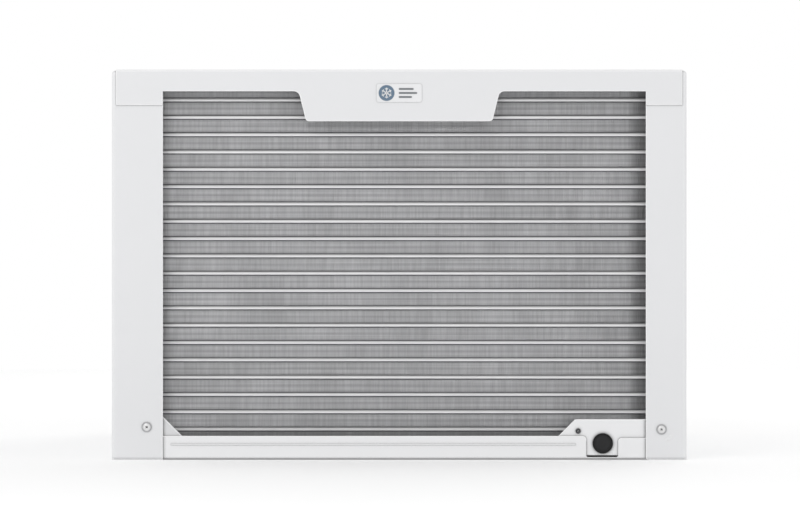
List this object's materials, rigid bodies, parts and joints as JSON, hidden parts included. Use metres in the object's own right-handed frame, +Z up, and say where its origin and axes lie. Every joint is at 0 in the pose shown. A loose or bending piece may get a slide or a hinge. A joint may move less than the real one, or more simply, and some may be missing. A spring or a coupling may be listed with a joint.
{
  "type": "window air conditioner",
  "caption": "Box-shaped window air conditioner: steel cabinet with an open outdoor coil, slide-out chassis, axial fan, blower, louvered outlet and hinged intake grille.",
  "frame": {"origin": "middle of the underside, on the surface the cabinet stands on", "axes": "+X to the right seen from the room, +Y towards the outdoor end, +Z up"},
  "size_m": [0.66, 0.683, 0.448],
  "materials": {
    "cabinet_paint": "satin powder coat",
    "pan_paint": "satin powder coat",
    "badge_grey": "satin",
    "screw_steel": "zinc plated",
    "plug_rubber": "matte",
    "foot_rubber": "matte",
    "fin_aluminium": "bare rolled",
    "copper_tube": "bare copper",
    "zinc_steel": "galvanised",
    "shroud_plastic": "moulded",
    "fan_plastic": "moulded",
    "motor_paint": "satin",
    "compressor_paint": "gloss",
    "front_plastic": "fine texture",
    "fascia_plastic": "satin",
    "button_plastic": "satin",
    "display_tint": "gloss",
    "board_laminate": "laminate",
    "filter_weave": "woven",
    "motor_case": "zinc",
    "capacitor_can": "drawn"
  },
  "bodies": {
    "cabinet": {"cabinet_shell": "cabinet_paint", "rear_top_rail": "cabinet_paint", "rear_badge": "badge_grey", "flange_screws": "screw_steel"},
    "chassis": {"base_pan": "pan_paint", "drain_bracket": "pan_paint", "pan_gusset": "pan_paint", "chassis_screws": "screw_steel", "condenser_fins": "fin_aluminium", "condenser_tubes": "copper_tube", "evaporator_fins": "fin_aluminium", "evaporator_tubes": "copper_tube", "coil_end_plates": "zinc_steel", "fan_shroud": "shroud_plastic", "fan_motor": "motor_paint", "motor_bracket": "zinc_steel", "compressor": "compressor_paint", "compressor_grommets": "foot_rubber", "compressor_nuts": "screw_steel", "refrigerant_pipes": "copper_tube", "capillary_coil": "copper_tube", "bulkhead": "zinc_steel", "blower_scroll": "shroud_plastic", "inlet_orifice": "shroud_plastic", "condensate_tray": "shroud_plastic", "outlet_duct": "front_plastic", "front_panel": "front_plastic", "control_fascia": "fascia_plastic", "display_window": "display_tint", "circuit_board": "board_laminate", "swing_motor": "motor_case", "control_box": "zinc_steel", "run_capacitor": "capacitor_can", "cord_gland": "foot_rubber"},
    "rotor": {"motor_shaft": "zinc_steel", "condenser_fan": "fan_plastic", "blower_wheel": "fan_plastic"},
    "drain_plug": {"drain_plug": "plug_rubber"},
    "intake_grille": {"intake_grille": "front_plastic"},
    "filter": {"filter_frame": "front_plastic", "filter_mesh": "filter_weave"},
    "vent_lever": {"vent_lever": "front_plastic"},
    "vent_door": {"vent_door": "front_plastic"},
    "vane_1": {"vane_1": "front_plastic"},
    "vane_2": {"vane_2": "front_plastic"},
    "vane_3": {"vane_3": "front_plastic"},
    "vane_4": {"vane_4": "front_plastic"},
    "vane_5": {"vane_5": "front_plastic"},
    "vane_6": {"vane_6": "front_plastic"},
    "vane_link": {"vane_link": "front_plastic"},
    "louver_bottom": {"louver_bottom": "front_plastic"},
    "louver_middle": {"louver_middle": "front_plastic"},
    "louver_top": {"louver_top": "front_plastic"},
    "power_button": {"power_button": "button_plastic"},
    "mode_button": {"mode_button": "button_plastic"},
    "fan_speed_button": {"fan_speed_button": "button_plastic"},
    "timer_button": {"timer_button": "button_plastic"},
    "temp_down_button": {"temp_down_button": "button_plastic"},
    "temp_up_button": {"temp_up_button": "button_plastic"}
  },
  "joints": [
    {"name": "chassis_slide", "type": "slide", "parent": "cabinet", "child": "chassis", "axis": [0, -1, 0], "range_m": [0, 0.4]},
    {"name": "fan_spin", "type": "hinge", "parent": "chassis", "child": "rotor", "pos_m": [-0.06, 0, 0.215], "axis": [0, 1, 0], "continuous": true},
    {"name": "drain_plug_pull", "type": "slide", "parent": "chassis", "child": "drain_plug", "axis": [0, 1, 0], "range_m": [0, 0.03]},
    {"name": "grille_hinge", "type": "hinge", "parent": "chassis", "child": "intake_grille", "pos_m": [0, -0.335, 0.017], "axis": [1, 0, 0], "range_deg": [0, 60]},
    {"name": "filter_slide", "type": "slide", "parent": "chassis", "child": "filter", "axis": [1, 0, 0], "range_m": [0, 0.3]},
    {"name": "vent_door_hinge", "type": "hinge", "parent": "chassis", "child": "vent_door", "pos_m": [0.24, -0.0631, 0.402], "axis": [-1, 0, 0], "range_deg": [0, 45]},
    {"name": "vent_lever_slide", "type": "slide", "parent": "chassis", "child": "vent_lever", "axis": [1, 0, 0], "range_m": [0, 0.0301]},
    {"name": "vane_1_swing", "type": "hinge", "parent": "chassis", "child": "vane_1", "pos_m": [-0.265, -0.285, 0.391], "axis": [0, 0, 1], "range_deg": [-30, 30]},
    {"name": "vane_2_swing", "type": "hinge", "parent": "chassis", "child": "vane_2", "pos_m": [-0.199, -0.285, 0.391], "axis": [0, 0, 1], "range_deg": [-30, 30]},
    {"name": "vane_3_swing", "type": "hinge", "parent": "chassis", "child": "vane_3", "pos_m": [-0.133, -0.285, 0.391], "axis": [0, 0, 1], "range_deg": [-30, 30]},
    {"name": "vane_4_swing", "type": "hinge", "parent": "chassis", "child": "vane_4", "pos_m": [-0.067, -0.285, 0.391], "axis": [0, 0, 1], "range_deg": [-30, 30]},
    {"name": "vane_5_swing", "type": "hinge", "parent": "chassis", "child": "vane_5", "pos_m": [-0.001, -0.285, 0.391], "axis": [0, 0, 1], "range_deg": [-30, 30]},
    {"name": "vane_6_swing", "type": "hinge", "parent": "chassis", "child": "vane_6", "pos_m": [0.065, -0.285, 0.391], "axis": [0, 0, 1], "range_deg": [-30, 30]},
    {"name": "vane_link_swing", "type": "hinge", "parent": "vane_1", "child": "vane_link", "pos_m": [-0.265, -0.271, 0.353], "axis": [0, 0, 1], "range_deg": [-30, 30]},
    {"name": "louver_bottom_tilt", "type": "hinge", "parent": "chassis", "child": "louver_bottom", "pos_m": [-0.1, -0.322, 0.363], "axis": [1, 0, 0], "range_deg": [-25, 35]},
    {"name": "louver_middle_tilt", "type": "hinge", "parent": "chassis", "child": "louver_middle", "pos_m": [-0.1, -0.322, 0.391], "axis": [1, 0, 0], "range_deg": [-25, 35]},
    {"name": "louver_top_tilt", "type": "hinge", "parent": "chassis", "child": "louver_top", "pos_m": [-0.1, -0.322, 0.419], "axis": [1, 0, 0], "range_deg": [-25, 35]},
    {"name": "power_button_press", "type": "slide", "parent": "chassis", "child": "power_button", "axis": [0, 1, 0], "range_m": [0, 0.001], "stiffness_N_per_m": 400},
    {"name": "mode_button_press", "type": "slide", "parent": "chassis", "child": "mode_button", "axis": [0, 1, 0], "range_m": [0, 0.001], "stiffness_N_per_m": 400},
    {"name": "fan_speed_button_press", "type": "slide", "parent": "chassis", "child": "fan_speed_button", "axis": [0, 1, 0], "range_m": [0, 0.001], "stiffness_N_per_m": 400},
    {"name": "timer_button_press", "type": "slide", "parent": "chassis", "child": "timer_button", "axis": [0, 1, 0], "range_m": [0, 0.001], "stiffness_N_per_m": 400},
    {"name": "temp_down_button_press", "type": "slide", "parent": "chassis", "child": "temp_down_button", "axis": [0, 1, 0], "range_m": [0, 0.001], "stiffness_N_per_m": 400},
    {"name": "temp_up_button_press", "type": "slide", "parent": "chassis", "child": "temp_up_button", "axis": [0, 1, 0], "range_m": [0, 0.001], "stiffness_N_per_m": 400}
  ],
  "couplings": [
    {"joint": "vent_lever_slide", "follows": "vent_door_hinge", "m_per_rad": 0.038197},
    {"joint": "vane_2_swing", "follows": "vane_1_swing", "ratio": 1},
    {"joint": "vane_3_swing", "follows": "vane_1_swing", "ratio": 1},
    {"joint": "vane_4_swing", "follows": "vane_1_swing", "ratio": 1},
    {"joint": "vane_5_swing", "follows": "vane_1_swing", "ratio": 1},
    {"joint": "vane_6_swing", "follows": "vane_1_swing", "ratio": 1},
    {"joint": "vane_link_swing", "follows": "vane_1_swing", "ratio": -1},
    {"joint": "louver_bottom_tilt", "follows": "louver_middle_tilt", "ratio": 1},
    {"joint": "louver_top_tilt", "follows": "louver_middle_tilt", "ratio": 1}
  ]
}
